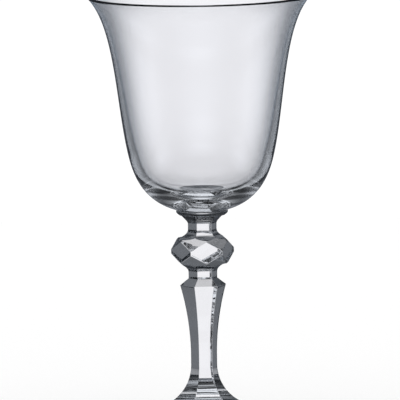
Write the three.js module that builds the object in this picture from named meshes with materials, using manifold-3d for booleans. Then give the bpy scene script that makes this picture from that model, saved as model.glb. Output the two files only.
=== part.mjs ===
// A stemmed crystal wine glass: a bell-shaped bowl on a round collar, a six-sided cut knop,
// a six-sided baluster stem and a round foot. Millimetres, +Z up. The origin is the middle
// of the plane that the foot stands on, and one flat of every six-sided piece faces -Y.
// The pieces are fused on level planes, so each one begins exactly where the last one ends.
import * as THREE from "three";
import Module from "manifold-3d";
import { mergeVertices } from "three/addons/utils/BufferGeometryUtils.js";

const wasm = await Module();
wasm.setup();

// Heights of the fused joints and of the rim.
const TOTAL_HEIGHT = 170;
const BOWL_BASE_Z = 87;
const COLLAR_BASE_Z = 85;
const KNOP_BASE_Z = 60.4;
const STEM_BASE_Z = 13.1;

// Bowl: radii and heights where its curves meet, and the wall's thickness at the belly.
const BOWL_BASE_R = 9.8;
const BELLY_Z = 110;
const BELLY_R = 28.45;
const BELLY_WALL = 3.15;
const WELL_Z = 92.4;
const LIP_R = 0.5;
const RIM_R = 43;
const RIM_LEAN = THREE.MathUtils.degToRad(41.6);

// The (radius, height) pairs that pull the bowl's four curves, from the axis to the rim.
const OUTER_BOTTOM_PULLS = [[23.1, 90.65], [26.6, 101.1]];
const OUTER_SIDE_PULLS = [[32.6, 129.5], [32.7, 158.2]];
const INNER_BOTTOM_PULLS = [[19.5, WELL_Z], [22.4, 100]];
const INNER_SIDE_PULLS = [[30.9, 129.5], [31.6, 158.2]];

// Collar: a round disc with a rounded edge.
const COLLAR_R = 10;
const COLLAR_EDGE_R = 0.7;
const COLLAR_UNDER_R = 8.9;

// Knop: corner radii of its six-sided sections, and heights from its middle.
const NECK_R = 5.6;
const NECK_TOP_Z = 81.6;
const KNOP_TOP_R = 8.4;
const KNOP_TOP_PULLS = [[NECK_R, 82.4], [6.7, 83.3]];
const KNOP_Z = 71.1;
const KNOP_R = 12.3;
const KNOP_BLANK_R = 12.4;
const KNOP_HALF = 8.3;
const KNOP_FLARE_RISE = 3.6;

// Sloping cuts on the knop: half the height of the upright edge that they leave at each
// corner, how far in they go for each millimetre of rise, and the rise where they run out.
const CUT_EDGE_HALF = 0.8;
const CUT_SLOPE = 0.93;
const CUT_END = 6.6;

// Baluster stem: corner radii and heights of its shoulder, waist and flare.
const SHOULDER_Z = 57.8;
const SHOULDER_R = 8.95;
const WAIST_Z = 30.5;
const WAIST_R = 5.1;
const FLARE_TOP_Z = 26.8;
const FLARE_R = 16.5;

// Foot: a thick round disc, coned on top and dished underneath.
const FOOT_R = 34;
const FOOT_EDGE_R = 1.55;
const FOOT_RING_OUT_R = 32;
const FOOT_RING_IN_R = 27;
const FOOT_DISH = 1.6;
const FOOT_ROUND_R = 30;
const FOOT_TOP_PULLS = [[25, 4.6], [17.2, 9.9]];
const FOOT_UNDER_PULLS = [[12, FOOT_DISH], [20, 0.3]];

const SIDES = 6;
const CIRCLE_STEPS = 64;
const FOOT_STEPS = 72;
const BOTTOM_STEPS = 8;
const SIDE_STEPS = 10;
const LIP_STEPS = 4;
const EDGE_STEPS = 5;
const CUT_STEPS = 12;

// Half the angle that one side of a six-sided piece takes up.
const HALF_SIDE = Math.PI / SIDES;

const at = (r, z) => new THREE.Vector2(r, z);

// Chains stretches of outline, each a list of points, and drops a point that repeats the last.
function outline(...stretches) {
  const points = [];
  for (const p of stretches.flat()) {
    const last = points.at(-1);
    if (!last || last.distanceTo(p) > 1e-6) points.push(p);
  }
  return points;
}

// A curve from one point to another, drawn towards two pull points between them.
function bend(from, pulls, to, steps) {
  const [near, far] = pulls.map(([r, z]) => at(r, z));
  return new THREE.CubicBezierCurve(from, near, far, to).getPoints(steps);
}

// Part of an ellipse about (r, z), from one angle to another.
function arc(r, z, width, height, from, to, steps) {
  const clockwise = to < from;
  return new THREE.EllipseCurve(r, z, width, height, from, to, clockwise).getPoints(steps);
}

// Turns an outline of (radius, height) points about Z. A six-sided one has its radii at the
// corners; turn is the angle of its first corner from -Y.
function turned(points, steps, turn = 0) {
  const geometry = new THREE.LatheGeometry(points, steps, turn);
  return geometry.rotateX(Math.PI / 2);
}

function solid(geometry) {
  const bare = geometry.clone();
  bare.deleteAttribute("normal");
  bare.deleteAttribute("uv");
  const merged = mergeVertices(bare, 1e-4);
  return new wasm.Manifold(
    new wasm.Mesh({
      numProp: 3,
      vertProperties: merged.attributes.position.array,
      triVerts: new Uint32Array(merged.index.array),
    }),
  );
}

function geometryOf(body) {
  const mesh = body.getMesh();
  const geometry = new THREE.BufferGeometry();
  geometry.setAttribute("position", new THREE.BufferAttribute(mesh.vertProperties, 3));
  geometry.setIndex(new THREE.BufferAttribute(mesh.triVerts, 1));
  geometry.computeVertexNormals();
  return geometry;
}

// The bowl's wall: a rounded bottom and a bell side, drawn by two curves outside and two
// inside, with a round lip that leans out with the wall.
function bowlGeometry() {
  const lip = at(RIM_R - LIP_R, TOTAL_HEIGHT - LIP_R);
  const across = at(Math.cos(RIM_LEAN), -Math.sin(RIM_LEAN)).multiplyScalar(LIP_R);
  const outerRim = lip.clone().add(across);
  const innerRim = lip.clone().sub(across);
  const outerBelly = at(BELLY_R, BELLY_Z);
  const innerBelly = at(BELLY_R - BELLY_WALL, BELLY_Z);
  const outside = outline(
    bend(at(BOWL_BASE_R, BOWL_BASE_Z), OUTER_BOTTOM_PULLS, outerBelly, BOTTOM_STEPS),
    bend(outerBelly, OUTER_SIDE_PULLS, outerRim, SIDE_STEPS),
  );
  const inside = outline(
    bend(at(0, WELL_Z), INNER_BOTTOM_PULLS, innerBelly, BOTTOM_STEPS),
    bend(innerBelly, INNER_SIDE_PULLS, innerRim, SIDE_STEPS),
  );
  const roundLip = arc(lip.x, lip.y, LIP_R, LIP_R, -RIM_LEAN, Math.PI - RIM_LEAN, LIP_STEPS);
  const points = outline([at(0, BOWL_BASE_Z)], outside, roundLip, inside.reverse());
  return turned(points, CIRCLE_STEPS);
}

// The collar: a disc whose edge is half round, drawn in a little underneath.
function collarGeometry() {
  const edgeZ = BOWL_BASE_Z - COLLAR_EDGE_R;
  const edgeR = COLLAR_R - COLLAR_EDGE_R;
  const points = outline(
    [at(0, COLLAR_BASE_Z), at(COLLAR_UNDER_R, COLLAR_BASE_Z)],
    arc(edgeR, edgeZ, COLLAR_EDGE_R, COLLAR_EDGE_R, -Math.PI / 3, Math.PI / 2, EDGE_STEPS),
    [at(0, BOWL_BASE_Z)],
  );
  return turned(points, CIRCLE_STEPS);
}

// The knop with its two short necks: a six-sided body that flares out of each neck in a
// hollow curve, with its corners cut off by six sloping planes above and six below, which
// leave a six-cornered lozenge on each upright side.
function knopGeometry() {
  const width = KNOP_BLANK_R - NECK_R;
  const flare = (side) => {
    const z = KNOP_Z + side * KNOP_HALF;
    const out = (side * -Math.PI) / 2;
    return arc(KNOP_BLANK_R, z, width, KNOP_FLARE_RISE, out, 2 * out, CUT_STEPS);
  };
  const upright = KNOP_HALF - KNOP_FLARE_RISE;
  const blank = outline(
    [at(0, KNOP_BASE_Z), at(NECK_R, KNOP_BASE_Z)],
    flare(-1).reverse(),
    [at(KNOP_R, KNOP_Z - upright), at(KNOP_R, KNOP_Z + upright)],
    flare(1),
    bend(at(NECK_R, NECK_TOP_Z), KNOP_TOP_PULLS, at(KNOP_TOP_R, COLLAR_BASE_Z), EDGE_STEPS),
    [at(0, COLLAR_BASE_Z)],
  );
  // What the cuts leave is six-sided too, with its flats at the blank's corners, so its own
  // corners are further out. It opens wide above and below to leave the necks alone.
  const left = (rise) => (KNOP_R - CUT_SLOPE * (rise - CUT_EDGE_HALF)) / Math.cos(HALF_SIDE);
  const far = TOTAL_HEIGHT;
  const kept = [
    at(0, KNOP_Z - far),
    at(far, KNOP_Z - far),
    at(left(CUT_END), KNOP_Z - CUT_END),
    at(left(0), KNOP_Z),
    at(left(CUT_END), KNOP_Z + CUT_END),
    at(far, KNOP_Z + far),
    at(0, KNOP_Z + far),
  ];
  return geometryOf(solid(turned(blank, SIDES, HALF_SIDE)).intersect(solid(turned(kept, SIDES))));
}

// The baluster: a chamfer out to the shoulder, a hollow taper down to the waist, which is a
// parabola, and a flare that is part of a circle.
function stemGeometry() {
  const taper = Array.from({ length: CUT_STEPS + 1 }, (_, i) => {
    const share = i / CUT_STEPS;
    const z = THREE.MathUtils.lerp(WAIST_Z, SHOULDER_Z, share);
    return at(WAIST_R + (SHOULDER_R - WAIST_R) * share ** 2, z);
  });
  const end = Math.asin((FLARE_TOP_Z - STEM_BASE_Z) / FLARE_R);
  const centreR = WAIST_R + FLARE_R;
  const flare = arc(centreR, FLARE_TOP_Z, FLARE_R, FLARE_R, Math.PI + end, Math.PI, CUT_STEPS);
  const points = outline(
    [at(0, STEM_BASE_Z)],
    flare,
    taper,
    [at(NECK_R, KNOP_BASE_Z), at(0, KNOP_BASE_Z)],
  );
  return turned(points, SIDES, HALF_SIDE);
}

// How far in a six-sided outline lies at an angle from a corner, as a share of its corner radius.
function hexagonShare(angle) {
  const side = 2 * HALF_SIDE;
  const fromFlat = THREE.MathUtils.euclideanModulo(angle, side) - HALF_SIDE;
  return Math.cos(HALF_SIDE) / Math.cos(fromFlat);
}

// The foot: its top runs on from the stem's six-sided flare and fades to a round disc with a
// rounded edge. It stands on a flat ring, and the middle underneath is dished.
function footGeometry() {
  const startR = WAIST_R + FLARE_R - Math.sqrt(FLARE_R ** 2 - (FLARE_TOP_Z - STEM_BASE_Z) ** 2);
  const edgeR = FOOT_R - FOOT_EDGE_R;
  const [low, high] = [-Math.PI / 3, Math.PI / 2.6];
  const edge = arc(edgeR, FOOT_EDGE_R, FOOT_EDGE_R, FOOT_EDGE_R, low, high, EDGE_STEPS);
  const points = outline(
    bend(at(0, FOOT_DISH), FOOT_UNDER_PULLS, at(FOOT_RING_IN_R, 0), EDGE_STEPS),
    [at(FOOT_RING_OUT_R, 0)],
    edge,
    bend(edge.at(-1), FOOT_TOP_PULLS, at(startR, STEM_BASE_Z), BOTTOM_STEPS),
    [at(0, STEM_BASE_Z)],
  );
  const geometry = turned(points, FOOT_STEPS, HALF_SIDE);
  const spots = geometry.getAttribute("position");
  for (let i = 0; i < spots.count; i++) {
    const [x, y, z] = [spots.getX(i), spots.getY(i), spots.getZ(i)];
    const r = Math.hypot(x, y);
    const round = THREE.MathUtils.smoothstep(r, startR, FOOT_ROUND_R);
    if (z < FOOT_EDGE_R || round === 1) continue;
    const share = THREE.MathUtils.lerp(hexagonShare(Math.atan2(y, x)), 1, round);
    spots.setXY(i, x * share, y * share);
  }
  geometry.computeVertexNormals();
  return geometry;
}

// Clear crystal as it is blown and fire-polished.
function blownCrystal() {
  return new THREE.MeshStandardMaterial({
    color: 0xe3e6ec,
    roughness: 0.03,
    metalness: 0,
    transparent: true,
    opacity: 0.35,
  });
}

// Clear crystal with cut and polished sides, which look darker against white.
function cutCrystal() {
  return new THREE.MeshStandardMaterial({
    color: 0xc9ced6,
    roughness: 0.05,
    metalness: 0,
    transparent: true,
    opacity: 0.45,
  });
}

function piece(name, geometry, material) {
  const mesh = new THREE.Mesh(geometry, material);
  mesh.name = name;
  return mesh;
}

const wineGlass = new THREE.Group();
wineGlass.add(
  piece("bowl", bowlGeometry(), blownCrystal()),
  piece("collar", collarGeometry(), blownCrystal()),
  piece("knop", knopGeometry(), cutCrystal()),
  piece("stem", stemGeometry(), cutCrystal()),
  piece("foot", footGeometry(), blownCrystal()),
);

export default wineGlass;
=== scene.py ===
# A stemmed crystal wine glass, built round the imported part: a bell-shaped bowl on a round
# collar, a six-sided cut knop, a six-sided baluster stem and a round foot. Metres, +Z up.
import math

import bpy
import numpy as np
from bpy.props import FloatProperty, FloatVectorProperty, PointerProperty
from mathutils import Euler, Matrix, Vector


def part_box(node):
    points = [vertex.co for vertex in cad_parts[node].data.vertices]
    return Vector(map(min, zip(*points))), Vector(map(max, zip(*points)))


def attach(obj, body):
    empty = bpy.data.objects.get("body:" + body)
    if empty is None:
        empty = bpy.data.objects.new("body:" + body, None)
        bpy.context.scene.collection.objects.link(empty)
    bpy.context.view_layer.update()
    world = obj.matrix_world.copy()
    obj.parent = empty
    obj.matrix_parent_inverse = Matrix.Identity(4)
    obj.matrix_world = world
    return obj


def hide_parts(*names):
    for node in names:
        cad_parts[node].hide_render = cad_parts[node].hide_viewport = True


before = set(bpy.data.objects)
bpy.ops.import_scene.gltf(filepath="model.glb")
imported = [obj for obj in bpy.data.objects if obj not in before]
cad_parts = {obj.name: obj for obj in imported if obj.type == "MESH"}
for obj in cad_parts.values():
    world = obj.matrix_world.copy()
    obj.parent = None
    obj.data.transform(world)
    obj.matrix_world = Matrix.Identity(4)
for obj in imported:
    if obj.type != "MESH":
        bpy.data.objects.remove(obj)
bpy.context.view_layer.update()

bl_info = {
    "name": "Crystal Wine Glass",
    "version": (1, 0, 0),
    "blender": (4, 5, 0),
    "location": "View3D > Sidebar > Glass",
    "description": "Makes a cut-crystal wine glass from its bowl, collar, knop, stem and foot",
    "category": "Add Mesh",
}

MM = 0.001

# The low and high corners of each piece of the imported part.
BOWL_LOW, BOWL_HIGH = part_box("bowl")
COLLAR_LOW, COLLAR_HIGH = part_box("collar")
KNOP_LOW, KNOP_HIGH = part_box("knop")
STEM_LOW, STEM_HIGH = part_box("stem")
FOOT_LOW, FOOT_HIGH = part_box("foot")

SIDES = 6
HALF_SIDE = math.pi / SIDES
CORNERS = np.arange(SIDES) * 2 * HALF_SIDE
FLATS = CORNERS + HALF_SIDE

# How finely the surfaces are drawn: columns all the way round, or to each of the six sides,
# and rows along each stretch of a profile.
AROUND = 192
KNOP_PER_SIDE = 60
STEM_PER_SIDE = 48
FLOOR_TURNS = 96
SMALL_CAP_ROWS = 6
CAP_ROWS = 8
BOWL_BOTTOM_ROWS = 40
BOWL_SIDE_ROWS = 44
LIP_ROWS = 13
COLLAR_UNDER_ROWS = 4
COLLAR_EDGE_ROWS = 16
NECK_ROWS = 60
KNOP_ROWS = (6, 34, 30, 44, 30, 34, 6, 22)
STEM_ROWS = (60, 10, 110, 28)
FOOT_DISH_ROWS = 40
FOOT_RING_ROWS = 6
FOOT_SLOPE_ROWS = 4
FOOT_EDGE_ROWS = 24
FOOT_TOP_ROWS = 70
STEM_CROWDING = 0.7

# Points that the curves are drawn towards, as (radius, height).
BOWL_OUTER_BOTTOM = np.array([[23.1, 90.65], [26.6, 101.1]]) * MM
BOWL_OUTER_SIDE = np.array([[32.6, 129.5], [32.7, 158.2]]) * MM
BOWL_INNER_SIDE = np.array([[31.6, 158.2], [30.9, 129.5]]) * MM
BOWL_INNER_BOTTOM = np.array([[22.4, 100], [19.5, 92.4]]) * MM
NECK_FLARE = np.array([[5.6, 82.4], [6.7, 83.3]]) * MM
FOOT_DISH = np.array([[12, 1.6], [20, 0.3]]) * MM
FOOT_TOP = np.array([[25, 4.6], [17.2, 9.9]]) * MM

# Where the rounded edges of the collar and the foot start and stop, as turns from the level.
EDGE_START = -math.pi / 3
COLLAR_EDGE_END = math.pi / 2
FOOT_EDGE_END = math.pi / 2.6
COLLAR_UNDER_RISE = 0.0006

SHARP_ANGLE = math.radians(28)
LEAST_COSINE = 1e-6
FLARE_STEPS = 600
JUST_UNDER_ONE = 0.999999
LEAST_BAND = 0.03 * MM
CUT_CLEAR_OF_NECK = 10


def length(name, description, default):
    """A property that holds a length in metres."""
    return FloatProperty(
        name=name,
        description=description,
        default=default,
        min=0.0,
        precision=5,
        unit="LENGTH",
        subtype="DISTANCE",
    )


def angle(name, description, degrees):
    """A property that holds an angle, given here in degrees."""
    return FloatProperty(
        name=name,
        description=description,
        default=math.radians(degrees),
        unit="ROTATION",
        subtype="ANGLE",
    )


def share(name, description, default, highest=1.0):
    """A property that holds a plain number from 0 up."""
    return FloatProperty(
        name=name, description=description, default=default, min=0.0, max=highest, precision=4
    )


def colour(name, description, default):
    """A property that holds a linear colour."""
    return FloatVectorProperty(
        name=name, description=description, default=default, size=3, min=0.0, max=1.0, subtype="COLOR"
    )


class BowlSizes(bpy.types.PropertyGroup):
    """Sizes of the blown bowl"""

    rim_radius: length("Rim radius", "Radius of the lip's outside", BOWL_HIGH.x)
    rim_height: length("Rim height", "Height of the lip's top", BOWL_HIGH.z)
    lip_radius: length("Lip radius", "Half the lip's thickness", 0.5 * MM)
    rim_lean: angle("Rim lean", "How far the wall leans out at the lip", 41.6)
    belly_radius: length("Belly radius", "Outer radius where the side meets the bottom", 28.45 * MM)
    belly_height: length("Belly height", "Height where the side meets the bottom", 110 * MM)
    belly_wall: length("Belly wall", "Thickness of the wall at the belly", 3.15 * MM)
    well_height: length("Well height", "Height of the bowl's bottom inside", 92.4 * MM)
    base_radius: length("Base radius", "Radius of the level base", 9.8 * MM)
    base_height: length("Base height", "Height of the face fused to the collar", BOWL_LOW.z)


class CollarSizes(bpy.types.PropertyGroup):
    """Sizes of the round collar under the bowl"""

    radius: length("Radius", "Radius of the collar", COLLAR_HIGH.x)
    edge_radius: length("Edge radius", "Radius of the rounded edge", 0.7 * MM)
    under_radius: length("Underside radius", "Radius of the flat underside", 8.9 * MM)


class KnopSizes(bpy.types.PropertyGroup):
    """Sizes of the cut knop and its two necks; six-sided radii are at the corners"""

    neck_radius: length("Neck radius", "Corner radius of both necks", 5.6 * MM)
    neck_top: length("Neck top", "Height where the upper neck starts to flare", 81.6 * MM)
    top_radius: length("Top radius", "Corner radius under the collar", 8.4 * MM)
    middle: length("Middle", "Height of the knop's middle", 71.1 * MM)
    radius: length("Radius", "Corner radius at the middle", KNOP_HIGH.x)
    blank_radius: length("Blank radius", "Corner radius that the hollow flares run out to", 12.4 * MM)
    half_height: length("Half height", "From the middle to the start of a neck", 8.3 * MM)
    flare_rise: length("Flare rise", "Height of the hollow flare at each neck", 3.6 * MM)
    edge_half: length("Edge half", "Half the height of the upright edge at a corner", 0.8 * MM)
    cut_slope: share("Cut slope", "How far a sloping cut goes in for its rise", 0.93, 5.0)
    cut_end: length("Cut end", "Rise from the middle at which the sloping cuts run out", 6.6 * MM)


class StemSizes(bpy.types.PropertyGroup):
    """Sizes of the six-sided baluster; radii are at the corners"""

    shoulder_radius: length("Shoulder radius", "Corner radius of the shoulder", 8.95 * MM)
    shoulder_height: length("Shoulder height", "Height of the shoulder", 57.8 * MM)
    waist_radius: length("Waist radius", "Corner radius of the waist", 5.1 * MM)
    waist_height: length("Waist height", "Height of the waist", 30.5 * MM)
    flare_top: length("Flare top", "Height where the flare to the foot starts", 26.8 * MM)
    flare_radius: length("Flare radius", "Radius of the arc that the flare follows", 16.5 * MM)


class FootSizes(bpy.types.PropertyGroup):
    """Sizes of the round foot"""

    radius: length("Radius", "Radius of the foot", FOOT_HIGH.x)
    edge_radius: length("Edge radius", "Radius of the rounded edge", 1.55 * MM)
    ring_outer: length("Ring outer radius", "Outside of the ring that it stands on", 32 * MM)
    ring_inner: length("Ring inner radius", "Inside of the ring that it stands on", 27 * MM)
    dish: length("Dish", "Depth of the hollow underneath", 1.6 * MM)
    round_from: length("Round from", "Radius at which the six sides have faded out", 30 * MM)


class CrystalFinish(bpy.types.PropertyGroup):
    """Colours, painted shade and polish of the crystal"""

    clear: colour("Clear", "Colour of the glass seen straight through", (0.97, 0.972, 0.985))
    # clear_low is painted shade: the bowl's colour greys towards its thick bottom.
    clear_low: colour("Clear below", "Colour of the bowl's thick bottom", (0.84, 0.842, 0.855))
    # The shade colours are painted shade, which the glass darkens to where its surface turns away from
    # the view; the low ones, lighter, are used near the bowl's bottom and where the stem flares.
    blown_painted_shade: colour("Blown shade", "Colour of the blown wall seen edge on", (0.04, 0.075, 0.115))
    blown_painted_shade_low: colour("Blown shade below", "The same at the thick bottom", (0.45, 0.46, 0.475))
    cut_clear: colour("Cut clear", "Colour of the thick cut glass", (0.92, 0.921, 0.935))
    cut_painted_shade: colour("Cut shade", "Colour of a cut side seen aslant", (0.024, 0.027, 0.031))
    cut_painted_shade_low: colour("Cut shade below", "The same where the stem flares", (0.3, 0.31, 0.325))
    ior: share("Refraction", "Index of refraction of the crystal", 1.54, 3.0)
    arris: share("Arris sharpness", "How sharp the cut edges are, as the power of their blend", 160, 1000)


class StudioLook(bpy.types.PropertyGroup):
    """Camera, floor and light"""

    azimuth: angle("Azimuth", "Turn of the camera round the glass", -8.5)
    elevation: angle("Elevation", "Camera's angle above the level", 6.7)
    roll: angle("Roll", "Turn of the camera about its own line of sight", 0.8)
    distance: length("Distance", "From the camera to the glass", 3.6)
    field: length("Field", "Width of the picture at the glass", 154 * MM)
    aim_height: length("Aim height", "Height at the middle of the picture", 90.6 * MM)
    aim_side: FloatProperty(
        name="Aim side",
        description="How far the picture's middle is to the left of the glass's axis",
        default=0.72 * MM,
        unit="LENGTH",
        subtype="DISTANCE",
    )
    floor_radius: length("Floor radius", "Radius of the floor", 0.7)
    white: share("White", "Brightness of the backdrop", 1.06, 5.0)


class WineGlassSettings(bpy.types.PropertyGroup):
    """Everything that can be changed about the glass"""

    bowl: PointerProperty(type=BowlSizes)
    collar: PointerProperty(type=CollarSizes)
    knop: PointerProperty(type=KnopSizes)
    stem: PointerProperty(type=StemSizes)
    foot: PointerProperty(type=FootSizes)
    finish: PointerProperty(type=CrystalFinish)
    studio: PointerProperty(type=StudioLook)


# Curves, as arrays of (radius, height) points.


def bend(start, pulls, end, count):
    """A cubic curve from start to end, drawn towards the two pulls: the mean of the four
    points, weighted by the products of how far along the curve has come and has to go."""
    t = np.linspace(0, 1, count)[:, None]
    weights = [(1 - t) ** 3, 3 * (1 - t) ** 2 * t, 3 * (1 - t) * t**2, t**3]
    points = [np.asarray(p, float) for p in (start, *pulls, end)]
    return sum(w * p for w, p in zip(weights, points))


def arc(centre, radius, start, end, count):
    """Part of a circle: its centre plus the radius times the cosine and sine of the angle."""
    turn = np.linspace(start, end, count)
    return np.asarray(centre) + radius * np.stack([np.cos(turn), np.sin(turn)], axis=-1)


def straight(start, end, count):
    """Evenly spaced points from start to end."""
    t = np.linspace(0, 1, count)[:, None]
    return (1 - t) * np.asarray(start, float) + t * np.asarray(end, float)


def chained(*stretches):
    """The stretches in a row, each without the point that repeats the last one's end."""
    return np.vstack([stretches[0]] + [s[1:] for s in stretches[1:]])


def crowded(count, crowding=0.6):
    """Shares from 0 to 1 that lie closer together at both ends: an even share less a sine."""
    t = np.linspace(0, 1, count)
    return t - crowding * np.sin(2 * math.pi * t) / (2 * math.pi)


# Six-sided sections.


def side_turns(per_side):
    """Angles all the way round, closer together at each of the six corners."""
    one = crowded(per_side + 1)[:-1] * 2 * HALF_SIDE
    return (CORNERS[:, None] + one).ravel()


def soft_least(lengths, power):
    """The least of some lengths, with the change from one to the next rounded: the least one
    times the power mean of its share of each."""
    least = np.min(lengths, axis=0)
    return least * ((least / lengths) ** power).sum(0) ** (-1 / power)


def plane_reach(turns, towards):
    """How far away upright planes at unit distance are along each turn: one over the cosine
    of the angle between, and endless where the turn leads away from the plane."""
    ahead = np.cos(turns[None, :] - towards[:, None])
    return 1 / np.maximum(ahead, LEAST_COSINE)


def hexagon(turns, power):
    """Radius of a soft-cornered hexagon, as a share of its corner radius."""
    return math.cos(HALF_SIDE) * soft_least(plane_reach(turns, FLATS), power)


# Meshes.


def turned_points(radius, height, turns):
    """Grid points from a radius and a height for every row and column."""
    radius, height = np.broadcast_arrays(radius, height)
    x = radius * np.cos(turns)
    y = radius * np.sin(turns)
    return np.stack([x, y, height], axis=-1)


def closed_mesh(name, points, fused):
    """A closed surface from a grid whose first and last rows are single points on the axis.
    Quads join the rows between, and a fan closes each end. fused marks the strips between
    rows that are fused to the next piece."""
    columns = points.shape[1]
    between = points[1:-1]
    vertices = np.vstack([points[0, :1], between.reshape(-1, 3), points[-1, :1]])
    here = 1 + np.arange(between.shape[0] * columns).reshape(-1, columns)
    beside = np.roll(here, -1, axis=1)
    quads = np.stack([here[:-1], beside[:-1], beside[1:], here[1:]], axis=-1).reshape(-1, 4)
    first = np.zeros(columns, int)
    last = np.full(columns, len(vertices) - 1)
    low_fan = np.stack([first, beside[0], here[0]], axis=-1)
    high_fan = np.stack([here[-1], beside[-1], last], axis=-1)
    mesh = bpy.data.meshes.new(name)
    mesh.from_pydata(vertices.tolist(), [], low_fan.tolist() + quads.tolist() + high_fan.tolist())
    mesh.polygons.foreach_set("material_index", np.repeat(fused.astype(np.int32), columns))
    mesh.polygons.foreach_set("use_smooth", np.ones(len(mesh.polygons), bool))
    mesh.set_sharp_from_angle(angle=SHARP_ANGLE)
    mesh.update()
    return mesh


def add_piece(name, points, fused, crystal):
    """Puts a piece of glass in the scene in place of the CAD node of the same name."""
    mesh = closed_mesh(name + "_glass", points, np.asarray(fused))
    mesh.materials.append(crystal)
    mesh.materials.append(fused_joint_material())
    piece = bpy.data.objects.new(name + "_glass", mesh)
    bpy.context.scene.collection.objects.link(piece)
    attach(piece, "root")
    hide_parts(name)
    return piece


def closing(radii, height, rows):
    """Rows of a level cap, from the axis out to an outline that may differ round the piece."""
    steps = np.linspace(0, 1, rows)[:, None]
    return steps * radii, np.full((rows, 1), height)


def stacked(*bands):
    """Joins bands of rows, each a (radius, height, fused) triple, into two grids and the list
    of which strips are fused. A band's first row repeats the last row before it."""
    columns = max(np.shape(r)[1] for r, _, _ in bands)
    radii, heights, fused = [], [], []
    for i, (r, z, is_fused) in enumerate(bands):
        rows = max(len(r), len(z))
        skip = 1 if i else 0
        radii.append(np.broadcast_to(r, (rows, columns))[skip:])
        heights.append(np.broadcast_to(z, (rows, columns))[skip:])
        fused += [is_fused] * (rows - 1)
    return np.vstack(radii), np.vstack(heights), fused


def capped(radius, height, low_rows):
    """A side whose first and last rows are level, with a fused cap at each end."""
    low_cap = closing(radius[:1], height[0, 0], low_rows)
    high_cap = closing(radius[-1:], height[-1, 0], SMALL_CAP_ROWS)
    return stacked(
        (*low_cap, True),
        (radius, height, False),
        (high_cap[0][::-1], high_cap[1], True),
    )


def column(points):
    """A profile as two one-column grids, radius and height."""
    return points[:, :1], points[:, 1:]


def even_turns():
    """Angles all the way round, evenly spaced."""
    return np.arange(AROUND) * 2 * math.pi / AROUND


def bowl_grid(s, joint_radius):
    """The bowl's wall: out along its base, up a rounded bottom and a bell side, over a round
    lip that leans with the wall, and down the inside to the axis."""
    lip = np.array([s.rim_radius - s.lip_radius, s.rim_height - s.lip_radius])
    across = s.lip_radius * np.array([math.cos(s.rim_lean), -math.sin(s.rim_lean)])
    belly = np.array([s.belly_radius, s.belly_height])
    inner_belly = belly - [s.belly_wall, 0]
    base = (s.base_radius, s.base_height)
    wall = chained(
        bend(base, BOWL_OUTER_BOTTOM, belly, BOWL_BOTTOM_ROWS),
        bend(belly, BOWL_OUTER_SIDE, lip + across, BOWL_SIDE_ROWS),
        arc(lip, s.lip_radius, -s.rim_lean, math.pi - s.rim_lean, LIP_ROWS),
        bend(lip - across, BOWL_INNER_SIDE, inner_belly, BOWL_SIDE_ROWS),
        bend(inner_belly, BOWL_INNER_BOTTOM, (0, s.well_height), BOWL_SIDE_ROWS),
    )
    cap = closing(np.full((1, AROUND), joint_radius), s.base_height, CAP_ROWS)
    ring = np.array([[joint_radius], [s.base_radius]])
    return stacked(
        (*cap, True),
        (ring, np.full((2, 1), s.base_height), False),
        (*column(wall), False),
    )


def collar_grid(s, top_corner, power):
    """The collar: a fused hexagon underneath, a narrow level ring, a rounded edge, and a
    fused disc on top."""
    low, high = COLLAR_LOW.z, COLLAR_HIGH.z
    centre = (s.radius - s.edge_radius, high - s.edge_radius)
    six = top_corner * hexagon(even_turns(), power)[None, :]
    under = closing(six, low, SMALL_CAP_ROWS)
    ring = np.vstack([six, np.full((1, AROUND), s.under_radius)])
    edge = chained(
        straight(
            (s.under_radius, low),
            (centre[0] + s.edge_radius / 2, low + COLLAR_UNDER_RISE),
            COLLAR_UNDER_ROWS,
        ),
        arc(centre, s.edge_radius, EDGE_START, COLLAR_EDGE_END, COLLAR_EDGE_ROWS),
    )
    disc = closing(np.full((1, AROUND), centre[0]), high, SMALL_CAP_ROWS)
    return stacked(
        (*under, True),
        (ring, np.full((2, 1), low), False),
        (*column(edge), False),
        (disc[0][::-1], disc[1], True),
    )


def knop_flare(s, rise):
    """Corner radius of the blank at a height above or below the middle: the neck, and a
    quarter of an ellipse that hollows out to the blank's full radius."""
    inward = np.clip((s.half_height - rise) / s.flare_rise, 0, 1)
    hollow = s.blank_radius - (s.blank_radius - s.neck_radius) * np.sqrt(1 - inward**2)
    return np.minimum(hollow, s.radius)


def knop_cut(s, rise):
    """Reach of the sloping cut towards a corner: the full radius less the slope times the
    rise past the upright edge. Beyond its end the cut opens wide and leaves the neck alone."""
    reach = s.radius - s.cut_slope * (rise - s.edge_half)
    return np.where(rise < s.cut_end, reach, CUT_CLEAR_OF_NECK * s.radius)


def knop_radius(s, power, height, turns):
    """The knop's surface, the soft least of eighteen reaches: six flats that follow the
    blank's outline up its height, and six sloping cuts above the middle and six below."""
    rise = height - s.middle
    neck = bend((s.neck_radius, s.neck_top), NECK_FLARE, (s.top_radius, KNOP_HIGH.z), NECK_ROWS)
    blank = np.maximum(knop_flare(s, np.abs(rise)), np.interp(height, neck[:, 1], neck[:, 0]))
    flats = blank * math.cos(HALF_SIDE) * plane_reach(turns, FLATS)[:, None, :]
    to_corners = plane_reach(turns, CORNERS)[:, None, :]
    cuts = [knop_cut(s, rise) * to_corners, knop_cut(s, -rise) * to_corners]
    return soft_least(np.concatenate([flats, *cuts]), power)


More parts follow.
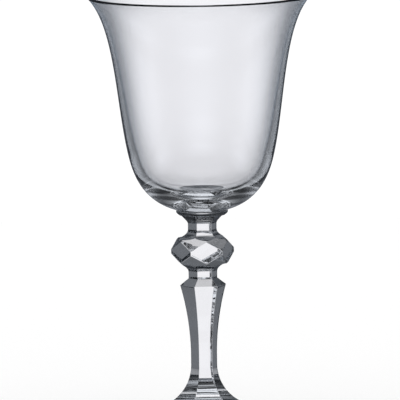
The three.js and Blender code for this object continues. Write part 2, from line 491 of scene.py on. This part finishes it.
def knop_grid(s, power, turns):
    """Rows that follow the knop's arrises: for every turn, the rise where the flat meets the
    sloping cut and the rise where the cut meets the hollow flare."""
    flat = hexagon(turns, power)
    cut = plane_reach(turns, CORNERS).min(0)
    edge = s.edge_half + s.radius * (1 - np.minimum(flat / cut, 1)) / s.cut_slope
    rises = np.linspace(s.half_height - s.flare_rise, s.cut_end, FLARE_STEPS)[:, None]
    inside = knop_flare(s, rises) * flat < knop_cut(s, rises * JUST_UNDER_ONE) * cut
    flare_edge = rises[np.argmax(inside, axis=0), 0]
    flare_edge = np.maximum(flare_edge, edge + LEAST_BAND)
    level = np.ones_like(turns)
    keys = [
        KNOP_LOW.z * level,
        (s.middle - s.half_height) * level,
        s.middle - flare_edge,
        s.middle - edge,
        s.middle + edge,
        s.middle + flare_edge,
        (s.middle + s.half_height) * level,
        s.neck_top * level,
        KNOP_HIGH.z * level,
    ]
    bands = []
    for low, high, count in zip(keys, keys[1:], KNOP_ROWS):
        along = crowded(count)[:, None]
        bands.append((1 - along) * low + along * high)
    height = chained(*bands)
    radius = knop_radius(s, power, height, turns)
    return capped(radius, height, SMALL_CAP_ROWS)


def stem_radius(s, neck, height, power):
    """Corner radius of the baluster at a height: a circle's arc flares to the foot, a
    parabola swells to the shoulder, and a straight chamfer goes in to the neck."""
    below = np.clip(s.flare_top - height, 0, None)
    flare = s.waist_radius + s.flare_radius - np.sqrt(s.flare_radius**2 - below**2)
    grown = np.clip((height - s.waist_height) / (s.shoulder_height - s.waist_height), 0, None)
    swell = flare + (s.shoulder_radius - s.waist_radius) * grown**2
    slope = (s.shoulder_radius - neck) / (STEM_HIGH.z - s.shoulder_height)
    chamfer = neck + slope * (STEM_HIGH.z - height)
    return soft_least(np.stack([swell, chamfer]), power)


def stem_grid(s, neck, power, turns):
    """The baluster's rows, closer together at the shoulder and where the flare starts."""
    keys = [STEM_LOW.z, s.flare_top, s.waist_height, s.shoulder_height, STEM_HIGH.z]
    bands = []
    for low, high, count in zip(keys, keys[1:], STEM_ROWS):
        bands.append(low + crowded(count, STEM_CROWDING)[:, None] * (high - low))
    height = chained(*bands)
    radius = stem_radius(s, neck, height, power) * hexagon(turns, power)
    return capped(radius, height, CAP_ROWS)


def foot_grid(s, corner, power, turns):
    """The foot: a dished underside, a level ring, a rounded edge, and a coned top whose six
    sides fade in from the round edge to the stem's flare."""
    edge_centre = (s.radius - s.edge_radius, s.edge_radius)
    edge = arc(edge_centre, s.edge_radius, EDGE_START, FOOT_EDGE_END, FOOT_EDGE_ROWS)
    under = chained(
        bend((0, s.dish), FOOT_DISH, (s.ring_inner, 0), FOOT_DISH_ROWS),
        straight((s.ring_inner, 0), (s.ring_outer, 0), FOOT_RING_ROWS),
        straight((s.ring_outer, 0), edge[0], FOOT_SLOPE_ROWS),
    )
    top = bend(edge[-1], FOOT_TOP, (corner, FOOT_HIGH.z), FOOT_TOP_ROWS)
    roundness = np.clip((top[:, :1] - corner) / (s.round_from - corner), 0, 1)
    roundness = roundness**2 * (3 - 2 * roundness)
    share_of_corner = (1 - roundness) * hexagon(turns, power) + roundness
    cap = closing(corner * hexagon(turns, power)[None, :], FOOT_HIGH.z, CAP_ROWS)
    return stacked(
        (*column(under), False),
        (*column(edge), False),
        (top[:, :1] * share_of_corner, top[:, 1:], False),
        (cap[0][::-1], cap[1], True),
    )


# Materials.


def set_stops(ramp, stops):
    """Gives a colour ramp its stops, each a place from 0 to 1 and a colour."""
    while len(ramp.elements) < len(stops):
        ramp.elements.new(0.5)
    for element, (spot, tint) in zip(ramp.elements, stops):
        element.position = spot
        element.color = tint


def new_group(name, inputs, outputs):
    """A shader node group with named sockets, and its input and output nodes."""
    group = bpy.data.node_groups.new(name, "ShaderNodeTree")
    kinds = {"value": "NodeSocketFloat", "vector": "NodeSocketVector"}
    for label, kind, default in inputs:
        socket = group.interface.new_socket(label, in_out="INPUT", socket_type=kinds[kind])
        if default is not None:
            socket.default_value = default
    for label, kind in outputs:
        group.interface.new_socket(label, in_out="OUTPUT", socket_type=kinds[kind])
    into = group.nodes.new("NodeGroupInput")
    out = group.nodes.new("NodeGroupOutput")
    return group, into, out


def node(tree, kind, **settings):
    """A new node with some of its settings made."""
    made = tree.nodes.new(kind)
    for key, value in settings.items():
        setattr(made, key, value)
    return made


def ripple_group():
    """Polish ripple: the slow waves that blowing, cutting and polishing leave in a glass
    surface, as a height made of a broad and a fine noise."""
    name = "Polish ripple"
    if name in bpy.data.node_groups:
        return bpy.data.node_groups[name]
    group, into, out = new_group(
        name,
        [
            ("Vector", "vector", None),
            ("Broad", "value", 60.0),
            ("Fine", "value", 400.0),
            ("Fine share", "value", 0.2),
        ],
        [("Height", "value")],
    )
    link = group.links.new
    broad = node(group, "ShaderNodeTexNoise")
    fine = node(group, "ShaderNodeTexNoise")
    broad.inputs["Detail"].default_value = 1.0
    fine.inputs["Detail"].default_value = 2.0
    scaled = node(group, "ShaderNodeMath", operation="MULTIPLY")
    total = node(group, "ShaderNodeMath", operation="ADD")
    link(into.outputs["Vector"], broad.inputs["Vector"])
    link(into.outputs["Vector"], fine.inputs["Vector"])
    link(into.outputs["Broad"], broad.inputs["Scale"])
    link(into.outputs["Fine"], fine.inputs["Scale"])
    link(fine.outputs["Fac"], scaled.inputs[0])
    link(into.outputs["Fine share"], scaled.inputs[1])
    link(broad.outputs["Fac"], total.inputs[0])
    link(scaled.outputs[0], total.inputs[1])
    link(total.outputs[0], out.inputs["Height"])
    return group


def film_group():
    """Handling film: the faint uneven haze that drying and fingers leave, as a roughness that
    is near nothing on clean glass and a little more in soft patches."""
    name = "Handling film"
    if name in bpy.data.node_groups:
        return bpy.data.node_groups[name]
    group, into, out = new_group(
        name,
        [("Vector", "vector", None), ("Scale", "value", 45.0), ("Filmed", "value", 0.03)],
        [("Roughness", "value")],
    )
    link = group.links.new
    patches = node(group, "ShaderNodeTexNoise")
    patches.inputs["Detail"].default_value = 4.0
    spread = node(group, "ShaderNodeMapRange", interpolation_type="SMOOTHSTEP")
    spread.inputs["From Min"].default_value = 0.5
    spread.inputs["From Max"].default_value = 0.85
    link(into.outputs["Vector"], patches.inputs["Vector"])
    link(into.outputs["Scale"], patches.inputs["Scale"])
    link(patches.outputs["Fac"], spread.inputs["Value"])
    spread.inputs["To Min"].default_value = 0.0
    link(into.outputs["Filmed"], spread.inputs["To Max"])
    link(spread.outputs["Result"], out.inputs["Roughness"])
    return group


def depth_group():
    """Glass depth: how far down a piece has come from one height to another, as a mask from 0
    to 1 raised to a power, so that it can keep most of the change for the end."""
    name = "Glass depth"
    if name in bpy.data.node_groups:
        return bpy.data.node_groups[name]
    group, into, out = new_group(
        name,
        [
            ("Vector", "vector", None),
            ("High", "value", 0.1),
            ("Low", "value", 0.0),
            ("Power", "value", 1.0),
        ],
        [("Depth", "value")],
    )
    link = group.links.new
    parts = node(group, "ShaderNodeSeparateXYZ")
    amount = node(group, "ShaderNodeMapRange")
    curve = node(group, "ShaderNodeMath", operation="POWER")
    link(into.outputs["Vector"], parts.inputs["Vector"])
    link(parts.outputs["Z"], amount.inputs["Value"])
    link(into.outputs["High"], amount.inputs["From Min"])
    link(into.outputs["Low"], amount.inputs["From Max"])
    link(amount.outputs["Result"], curve.inputs[0])
    link(into.outputs["Power"], curve.inputs[1])
    link(curve.outputs[0], out.inputs["Depth"])
    return group


def blend_colours(tree, factor, first, second):
    """A node that mixes two colours; each may be a plain colour or another node's output."""
    blend = node(tree, "ShaderNodeMix", data_type="RGBA")
    tree.links.new(factor, blend.inputs["Factor"])
    for socket, tint in (("A", first), ("B", second)):
        if isinstance(tint, bpy.types.NodeSocket):
            tree.links.new(tint, blend.inputs[socket])
        else:
            blend.inputs[socket].default_value = (*tint, 1)
    return blend.outputs["Result"]


def crystal_material(name, look):
    """Clear polished crystal with painted shade. Its colour goes from clear, seen straight on, to a
    painted shade where the surface turns away. look holds clear and shade; turn, as pairs of how
    far the surface has turned away and how much of the painted shade it has there; ripple, as
    (broad scale, fine scale, fine share, height in metres); and film, as (scale, roughness). With
    depth, as (high, low, power), clear and shade are each a (high, low) pair of colours, so that
    the painted shade changes with height."""
    finish = bpy.context.scene.wine_glass.finish
    material = bpy.data.materials.new(name)
    material.use_nodes = True
    tree = material.node_tree
    tree.nodes.clear()
    link = tree.links.new
    output = node(tree, "ShaderNodeOutputMaterial")
    glass = node(tree, "ShaderNodeBsdfPrincipled")
    glass.inputs["Metallic"].default_value = 0.0
    glass.inputs["Transmission Weight"].default_value = 1.0
    glass.inputs["IOR"].default_value = finish.ior
    place = node(tree, "ShaderNodeTexCoord")

    clear = look["clear"]
    shade = look["shade"]
    # Blends the clear colour and the painted shade from their high colour to their low colour, down the
    # piece's height.
    if "depth" in look:
        depth = node(tree, "ShaderNodeGroup", node_tree=depth_group())
        for label, value in zip(("High", "Low", "Power"), look["depth"]):
            depth.inputs[label].default_value = value
        link(place.outputs["Object"], depth.inputs["Vector"])
        clear = blend_colours(tree, depth.outputs["Depth"], *clear)
        shade = blend_colours(tree, depth.outputs["Depth"], *shade)
    # Painted shade: the base colour darkens towards the shade as the surface turns away from the view.
    turned_away = node(tree, "ShaderNodeLayerWeight")
    turned_away.inputs["Blend"].default_value = 0.5
    amount = node(tree, "ShaderNodeValToRGB")
    set_stops(amount.color_ramp, [(spot, (grey, grey, grey, 1)) for spot, grey in look["turn"]])
    link(turned_away.outputs["Facing"], amount.inputs["Fac"])
    link(blend_colours(tree, amount.outputs["Color"], clear, shade), glass.inputs["Base Color"])

    *noises, wave_height = look["ripple"]
    waves = node(tree, "ShaderNodeGroup", node_tree=ripple_group())
    for label, value in zip(("Broad", "Fine", "Fine share"), noises):
        waves.inputs[label].default_value = value
    bump = node(tree, "ShaderNodeBump")
    bump.inputs["Strength"].default_value = 1.0
    bump.inputs["Distance"].default_value = wave_height
    link(place.outputs["Object"], waves.inputs["Vector"])
    link(waves.outputs["Height"], bump.inputs["Height"])
    link(bump.outputs["Normal"], glass.inputs["Normal"])

    haze = node(tree, "ShaderNodeGroup", node_tree=film_group())
    for label, value in zip(("Scale", "Filmed"), look["film"]):
        haze.inputs[label].default_value = value
    link(place.outputs["Object"], haze.inputs["Vector"])
    link(haze.outputs["Roughness"], glass.inputs["Roughness"])
    link(glass.outputs["BSDF"], output.inputs["Surface"])
    return material


def fused_joint_material():
    """The face where two pieces of glass are melted together: nothing is left to see, so
    light goes straight through."""
    name = "Fused joint"
    if name in bpy.data.materials:
        return bpy.data.materials[name]
    material = bpy.data.materials.new(name)
    material.use_nodes = True
    tree = material.node_tree
    tree.nodes.clear()
    output = node(tree, "ShaderNodeOutputMaterial")
    open_face = node(tree, "ShaderNodeBsdfTransparent")
    tree.links.new(open_face.outputs["BSDF"], output.inputs["Surface"])
    return material


def blown_crystal():
    """Thin blown glass with painted shade: darker towards its edges, and greyer towards its thick bottom,
    where the edges darken less.
    """
    finish = bpy.context.scene.wine_glass.finish
    return crystal_material(
        "Blown crystal",
        {
            "clear": (finish.clear, finish.clear_low),
            "shade": (finish.blown_painted_shade, finish.blown_painted_shade_low),
            # Height mask for the painted shade, from 130 mm down to 94 mm.
            "depth": (130 * MM, 94 * MM, 2.2),
            "turn": [
                (0.2, 0),
                (0.3, 0.08),
                (0.44, 0.27),
                (0.62, 0.55),
                (0.74, 0.6),
                (0.86, 0.95),
                (1, 1),
            ],
            "ripple": (55, 300, 0.04, 0.016 * MM),
            "film": (45, 0.02),
        },
    )


def collar_crystal():
    """The collar's solid glass, painted with shade everywhere but a narrow bright strip where its surface
    faces the view.
    """
    finish = bpy.context.scene.wine_glass.finish
    return crystal_material(
        "Collar crystal",
        {
            "clear": finish.clear,
            "shade": finish.cut_painted_shade,
            "turn": [(0.02, 0), (0.05, 0.9), (0.1, 1), (1, 1)],
            "ripple": (90, 600, 0.15, 0.01 * MM),
            "film": (60, 0.02),
        },
    )


def cut_crystal():
    """Thick cut glass, whose slanted sides are darker in painted shade, less so where it flares to the
    foot.
    """
    finish = bpy.context.scene.wine_glass.finish
    return crystal_material(
        "Cut crystal",
        {
            "clear": (finish.cut_clear, finish.cut_clear),
            "shade": (finish.cut_painted_shade, finish.cut_painted_shade_low),
            # Height mask: the painted shade is lighter from 25.5 mm down to 18 mm, where the stem flares.
            "depth": (25.5 * MM, 18 * MM, 0.6),
            "turn": [(0.14, 0), (0.24, 0.55), (0.36, 1), (1, 1)],
            "ripple": (90, 600, 0.15, 0.01 * MM),
            "film": (70, 0.02),
        },
    )


def foot_crystal():
    """Pressed and polished glass of the foot, with painted shade where its surface turns away from the
    view.
    """
    finish = bpy.context.scene.wine_glass.finish
    return crystal_material(
        "Foot crystal",
        {
            "clear": finish.clear,
            "shade": finish.blown_painted_shade,
            "turn": [(0.4, 0), (0.7, 0.6), (1, 1)],
            "ripple": (70, 400, 0.15, 0.02 * MM),
            "film": (60, 0.03),
        },
    )


# Operators.


class BuildBowl(bpy.types.Operator):
    """Makes the blown bowl"""

    bl_idname = "wine_glass.build_bowl"
    bl_label = "Build Bowl"

    def execute(self, context):
        s = context.scene.wine_glass
        radius, height, fused = bowl_grid(s.bowl, s.collar.radius - s.collar.edge_radius)
        points = turned_points(radius, height, even_turns())
        add_piece("bowl", points, fused, blown_crystal())
        return {"FINISHED"}


class BuildCollar(bpy.types.Operator):
    """Makes the round collar between the bowl and the knop"""

    bl_idname = "wine_glass.build_collar"
    bl_label = "Build Collar"

    def execute(self, context):
        s = context.scene.wine_glass
        radius, height, fused = collar_grid(s.collar, s.knop.top_radius, s.finish.arris)
        points = turned_points(radius, height, even_turns())
        add_piece("collar", points, fused, collar_crystal())
        return {"FINISHED"}


class BuildKnop(bpy.types.Operator):
    """Makes the cut knop with its two necks"""

    bl_idname = "wine_glass.build_knop"
    bl_label = "Build Knop"

    def execute(self, context):
        s = context.scene.wine_glass
        turns = side_turns(KNOP_PER_SIDE)
        radius, height, fused = knop_grid(s.knop, s.finish.arris, turns)
        points = turned_points(radius, height, turns)
        add_piece("knop", points, fused, cut_crystal())
        return {"FINISHED"}


class BuildStem(bpy.types.Operator):
    """Makes the six-sided baluster"""

    bl_idname = "wine_glass.build_stem"
    bl_label = "Build Stem"

    def execute(self, context):
        s = context.scene.wine_glass
        turns = side_turns(STEM_PER_SIDE)
        radius, height, fused = stem_grid(s.stem, s.knop.neck_radius, s.finish.arris, turns)
        points = turned_points(radius, height, turns)
        add_piece("stem", points, fused, cut_crystal())
        return {"FINISHED"}


class BuildFoot(bpy.types.Operator):
    """Makes the round foot"""

    bl_idname = "wine_glass.build_foot"
    bl_label = "Build Foot"

    def execute(self, context):
        s = context.scene.wine_glass
        turns = side_turns(STEM_PER_SIDE)
        corner = stem_radius(s.stem, s.knop.neck_radius, np.array([STEM_LOW.z]), s.finish.arris)[0]
        radius, height, fused = foot_grid(s.foot, corner, s.finish.arris, turns)
        points = turned_points(radius, height, turns)
        add_piece("foot", points, fused, foot_crystal())
        return {"FINISHED"}


# Light and darkness of the studio, and how they change with the height above the level, in
# degrees. INNER_LIGHT holds brightnesses, which INNER_TINT colours.
DARK = (0.05, 0.06, 0.075, 1)
DIM = (0.1, 0.11, 0.13, 1)
HALF = (0.36, 0.38, 0.4, 1)
SOFT = (0.5, 0.53, 0.57, 1)
LIT = (1.0, 1.0, 1.02, 1)
BENT_LIGHT = (
    (-90, LIT),
    (-68, LIT),
    (-60, DARK),
    (-50, DARK),
    (-42, HALF),
    (-34, LIT),
    (20, LIT),
    (28, DARK),
    (58, DARK),
    (75, SOFT),
    (90, LIT),
)
MIRRORED_LIGHT = ((-90, SOFT), (-30, DIM), (40, DIM), (60, SOFT), (90, LIT))
INNER_TINT = (1.0, 1.04, 1.1)
INNER_LIGHT = (
    (-90, 0.6),
    (-62, 0.02),
    (-46, 0.02),
    (-38, 0.9),
    (-28, 0.9),
    (-22, 1.0),
    (-15, 1.0),
    (-11, 1.0),
    (-3, 0.95),
    (1, 0.9),
    (5, 0.03),
    (12, 0.02),
    (16, 1.0),
    (24, 0.9),
    (30, 0.03),
    (50, 0.02),
    (65, 0.7),
    (90, 1.0),
)
PANELS = 4.0
LEAST_PANEL_LIGHT = 0.15
GLASS_BOUNCES = 32
MIRROR_BOUNCES = 16
CLIP_NEAR = 0.05
CLIP_FAR = 50.0
PAPER_GRAIN = ((0.3, (0.94, 0.94, 0.94, 1)), (0.7, (0.96, 0.96, 0.96, 1)))
GRAIN_SCALE = 900.0


def height_ramp(tree, direction, stops):
    """A colour that changes with a direction's height: stops are pairs of an angle above the
    level, in degrees, and a colour."""
    rising = node(tree, "ShaderNodeMapRange")
    rising.inputs["From Min"].default_value = -1.0
    rising.inputs["From Max"].default_value = 1.0
    ramp = node(tree, "ShaderNodeValToRGB")
    ramp.color_ramp.interpolation = "EASE"
    set_stops(ramp.color_ramp, [(0.5 + 0.5 * math.sin(math.radians(e)), c) for e, c in stops])
    tree.links.new(direction, rising.inputs["Value"])
    tree.links.new(rising.outputs["Result"], ramp.inputs["Fac"])
    return ramp.outputs["Color"]


def panel_light(tree, parts, centre, least):
    """Brightness round the level of lamp panels evenly spaced, the first of them at the
    centre: a cosine of the turn from the centre times the number of panels, between the
    least and one."""
    turn = node(tree, "ShaderNodeMath", operation="ARCTAN2")
    times = node(tree, "ShaderNodeMath", operation="MULTIPLY_ADD")
    times.inputs[1].default_value = PANELS
    times.inputs[2].default_value = -PANELS * centre
    wave = node(tree, "ShaderNodeMath", operation="COSINE")
    raised = node(tree, "ShaderNodeMath", operation="MULTIPLY_ADD")
    raised.inputs[1].default_value = (1 - least) / 2
    raised.inputs[2].default_value = (1 + least) / 2
    tree.links.new(parts.outputs["X"], turn.inputs[0])
    tree.links.new(parts.outputs["Y"], turn.inputs[1])
    tree.links.new(turn.outputs[0], times.inputs[0])
    tree.links.new(times.outputs[0], wave.inputs[0])
    tree.links.new(wave.outputs[0], raised.inputs[0])
    return raised.outputs[0]


def studio_world(white, panel_turn):
    """White all round for the camera and the floor. Light that the glass bends comes from a
    white band about the level and from straight below and overhead, with darkness between.
    Light that it reflects inside comes from lamp panels round it, in bands by height. What
    it mirrors outside is much darker, as a room behind lamps is."""
    world = bpy.data.worlds.new("Studio")
    world.use_nodes = True
    tree = world.node_tree
    tree.nodes.clear()
    link = tree.links.new

    place = node(tree, "ShaderNodeTexCoord")
    parts = node(tree, "ShaderNodeSeparateXYZ")
    link(place.outputs["Generated"], parts.inputs["Vector"])
    bent = height_ramp(tree, parts.outputs["Z"], BENT_LIGHT)
    mirrored = height_ramp(tree, parts.outputs["Z"], MIRRORED_LIGHT)
    inner_stops = [(e, (*(light * t for t in INNER_TINT), 1)) for e, light in INNER_LIGHT]
    inner_light = height_ramp(tree, parts.outputs["Z"], inner_stops)

    panels = node(tree, "ShaderNodeMix", data_type="RGBA", blend_type="MULTIPLY")
    panels.inputs["Factor"].default_value = 1.0
    link(inner_light, panels.inputs["A"])
    link(panel_light(tree, parts, panel_turn, LEAST_PANEL_LIGHT), panels.inputs["B"])

    paths = node(tree, "ShaderNodeLightPath")
    inside = node(tree, "ShaderNodeMix", data_type="RGBA", clamp_factor=True)
    link(panels.outputs["Result"], inside.inputs["B"])
    link(paths.outputs["Glossy Depth"], inside.inputs["Factor"])
    link(bent, inside.inputs["A"])
    seen = node(tree, "ShaderNodeMix", data_type="RGBA")
    link(paths.outputs["Is Reflection Ray"], seen.inputs["Factor"])
    link(inside.outputs["Result"], seen.inputs["A"])
    link(mirrored, seen.inputs["B"])

    shaped = node(tree, "ShaderNodeBackground")
    link(seen.outputs["Result"], shaped.inputs["Color"])
    plain = node(tree, "ShaderNodeBackground")
    plain.inputs["Color"].default_value = (1, 1, 1, 1)
    plain.inputs["Strength"].default_value = white
    in_glass = node(tree, "ShaderNodeMath", operation="MAXIMUM")
    link(paths.outputs["Is Transmission Ray"], in_glass.inputs[0])
    link(paths.outputs["Is Glossy Ray"], in_glass.inputs[1])
    choice = node(tree, "ShaderNodeMixShader")
    output = node(tree, "ShaderNodeOutputWorld")
    link(in_glass.outputs[0], choice.inputs["Fac"])
    link(plain.outputs[0], choice.inputs[1])
    link(shaped.outputs[0], choice.inputs[2])
    link(choice.outputs[0], output.inputs["Surface"])
    return world


def floor_material():
    """Matt white paper, with a grain too fine to see as more than softness."""
    material = bpy.data.materials.new("Paper sweep")
    material.use_nodes = True
    tree = material.node_tree
    paper = tree.nodes["Principled BSDF"]
    paper.inputs["Roughness"].default_value = 1.0
    paper.inputs["Specular IOR Level"].default_value = 0.0
    place = node(tree, "ShaderNodeTexCoord")
    grain = node(tree, "ShaderNodeTexNoise")
    grain.inputs["Scale"].default_value = GRAIN_SCALE
    shades = node(tree, "ShaderNodeValToRGB")
    set_stops(shades.color_ramp, PAPER_GRAIN)
    tree.links.new(place.outputs["Object"], grain.inputs["Vector"])
    tree.links.new(grain.outputs["Fac"], shades.inputs["Fac"])
    tree.links.new(shades.outputs["Color"], paper.inputs["Base Color"])
    return material


class BuildStudio(bpy.types.Operator):
    """Makes the floor, the light and the camera"""

    bl_idname = "wine_glass.build_studio"
    bl_label = "Build Studio"

    def execute(self, context):
        scene = context.scene
        s = scene.wine_glass.studio
        scene.world = studio_world(s.white, -s.azimuth)
        scene.view_settings.view_transform = "Standard"
        scene.view_settings.look = "None"
        scene.cycles.max_bounces = GLASS_BOUNCES
        scene.cycles.transmission_bounces = GLASS_BOUNCES
        scene.cycles.glossy_bounces = MIRROR_BOUNCES
        scene.cycles.transparent_max_bounces = GLASS_BOUNCES

        turns = np.arange(FLOOR_TURNS) * 2 * math.pi / FLOOR_TURNS
        outline = s.floor_radius * np.stack([np.cos(turns), np.sin(turns)], axis=-1)
        level = np.hstack([outline, np.zeros((len(turns), 1))])
        mesh = bpy.data.meshes.new("floor")
        mesh.from_pydata(level.tolist(), [], [list(range(len(turns)))])
        mesh.materials.append(floor_material())
        floor = bpy.data.objects.new("floor", mesh)
        floor.visible_transmission = False
        floor.visible_glossy = False
        scene.collection.objects.link(floor)

        camera_data = bpy.data.cameras.new("camera")
        camera_data.lens = camera_data.sensor_width * s.distance / s.field
        camera_data.clip_start = CLIP_NEAR
        camera_data.clip_end = CLIP_FAR
        camera = bpy.data.objects.new("camera", camera_data)
        scene.collection.objects.link(camera)
        back = Vector(
            (
                math.sin(s.azimuth) * math.cos(s.elevation),
                -math.cos(s.azimuth) * math.cos(s.elevation),
                math.sin(s.elevation),
            )
        )
        turn = (-back).to_track_quat("-Z", "Y").to_matrix()
        aim = Vector((0, 0, s.aim_height)) - turn @ Vector((s.aim_side, 0, 0))
        turn = turn @ Euler((0, 0, -s.roll)).to_matrix()
        camera.matrix_world = Matrix.Translation(aim + back * s.distance) @ turn.to_4x4()
        scene.camera = camera
        return {"FINISHED"}


OPERATORS = (BuildBowl, BuildCollar, BuildKnop, BuildStem, BuildFoot, BuildStudio)


class WineGlassPanel(bpy.types.Panel):
    """Lists the operators that make the glass"""

    bl_idname = "VIEW3D_PT_wine_glass"
    bl_label = "Wine Glass"
    bl_space_type = "VIEW_3D"
    bl_region_type = "UI"
    bl_category = "Glass"

    def draw(self, context):
        for operator in OPERATORS:
            self.layout.operator(operator.bl_idname)


CLASSES = (
    BowlSizes,
    CollarSizes,
    KnopSizes,
    StemSizes,
    FootSizes,
    CrystalFinish,
    StudioLook,
    WineGlassSettings,
    *OPERATORS,
    WineGlassPanel,
)


def register():
    """Registers the classes and the settings."""
    for cls in CLASSES:
        bpy.utils.register_class(cls)
    bpy.types.Scene.wine_glass = PointerProperty(type=WineGlassSettings)


def unregister():
    """Takes the settings and the classes away again."""
    del bpy.types.Scene.wine_glass
    for cls in reversed(CLASSES):
        bpy.utils.unregister_class(cls)


def main():
    """Makes the whole glass and its studio."""
    register()
    bpy.ops.wine_glass.build_bowl()
    bpy.ops.wine_glass.build_collar()
    bpy.ops.wine_glass.build_knop()
    bpy.ops.wine_glass.build_stem()
    bpy.ops.wine_glass.build_foot()
    bpy.ops.wine_glass.build_studio()


if __name__ == "__main__":
    main()
